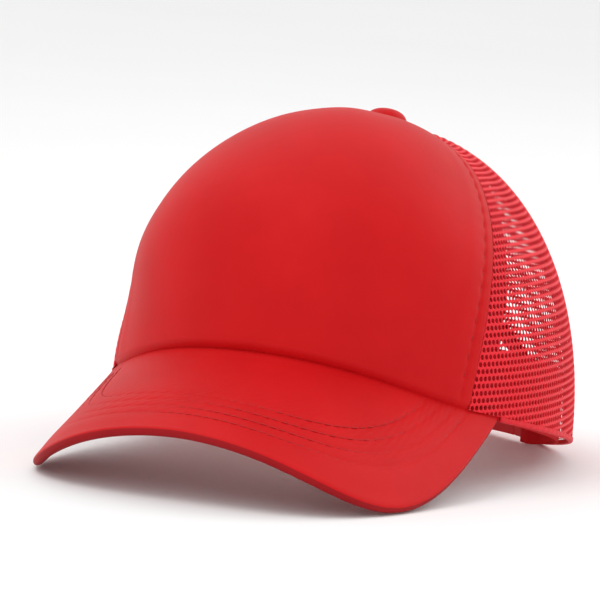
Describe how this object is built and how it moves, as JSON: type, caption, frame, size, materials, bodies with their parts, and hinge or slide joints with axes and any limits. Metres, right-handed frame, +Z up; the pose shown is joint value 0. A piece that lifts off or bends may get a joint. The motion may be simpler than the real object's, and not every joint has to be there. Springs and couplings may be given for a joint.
{
  "type": "trucker mesh cap",
  "caption": "Trucker cap with a tall foam front panel, open mesh sides and back, a curved stitched brim, a top button and a plastic snap strap across the rear arch.",
  "frame": {"origin": "centre of the head opening, on the plane that the ends of the arch binding stand on", "axes": "+X towards the wearer's left, +Y towards the back of the head, +Z up; the brim points along -Y"},
  "size_m": [0.166, 0.2315, 0.1267],
  "materials": {
    "cover_cloth": "smooth brushed polyester knit, slight satin sheen",
    "mesh": "open warp-knitted polyester mesh with horizontal ribs",
    "binding": "folded polyester binding tape",
    "tape": "woven seam tape",
    "sweatband_cloth": "plain woven cotton twill",
    "foam": "open-cell polyurethane foam",
    "board": "polyethylene board",
    "metal": "plain stamped shell",
    "snap_plastic": "semi-matte injection-moulded polyethylene"
  },
  "bodies": {
    "cap": {"front_cover": "cover_cloth", "front_foam": "foam", "side_mesh_left": "mesh", "side_mesh_right": "mesh", "back_mesh_left": "mesh", "back_mesh_right": "mesh", "front_seam_tape_left": "tape", "front_seam_tape_right": "tape", "side_seam_tape_left": "tape", "side_seam_tape_right": "tape", "back_seam_tape": "tape", "arch_binding": "binding", "hem_binding_left": "binding", "hem_binding_right": "binding", "sweatband": "sweatband_cloth", "forehead_pad": "foam", "brim_board": "board", "brim_top_cover": "cover_cloth", "brim_bottom_cover": "cover_cloth", "button_cover": "cover_cloth", "button_core": "metal", "button_shank": "metal", "strap_tab_left": "snap_plastic", "strap_tab_right": "snap_plastic"},
    "hole_strap": {"strap_with_holes": "snap_plastic"},
    "stud_strap": {"strap_with_studs": "snap_plastic"}
  },
  "joints": [
    {"name": "hole_strap_swing", "type": "hinge", "parent": "cap", "child": "hole_strap", "pos_m": [-0.03778, 0.07467, 0.011], "axis": [0, 0, 1], "range_deg": [0, 50]},
    {"name": "stud_strap_swing", "type": "hinge", "parent": "cap", "child": "stud_strap", "pos_m": [0.03694, 0.07331, 0.011], "axis": [0, 0, 1], "range_deg": [0, 50]}
  ]
}
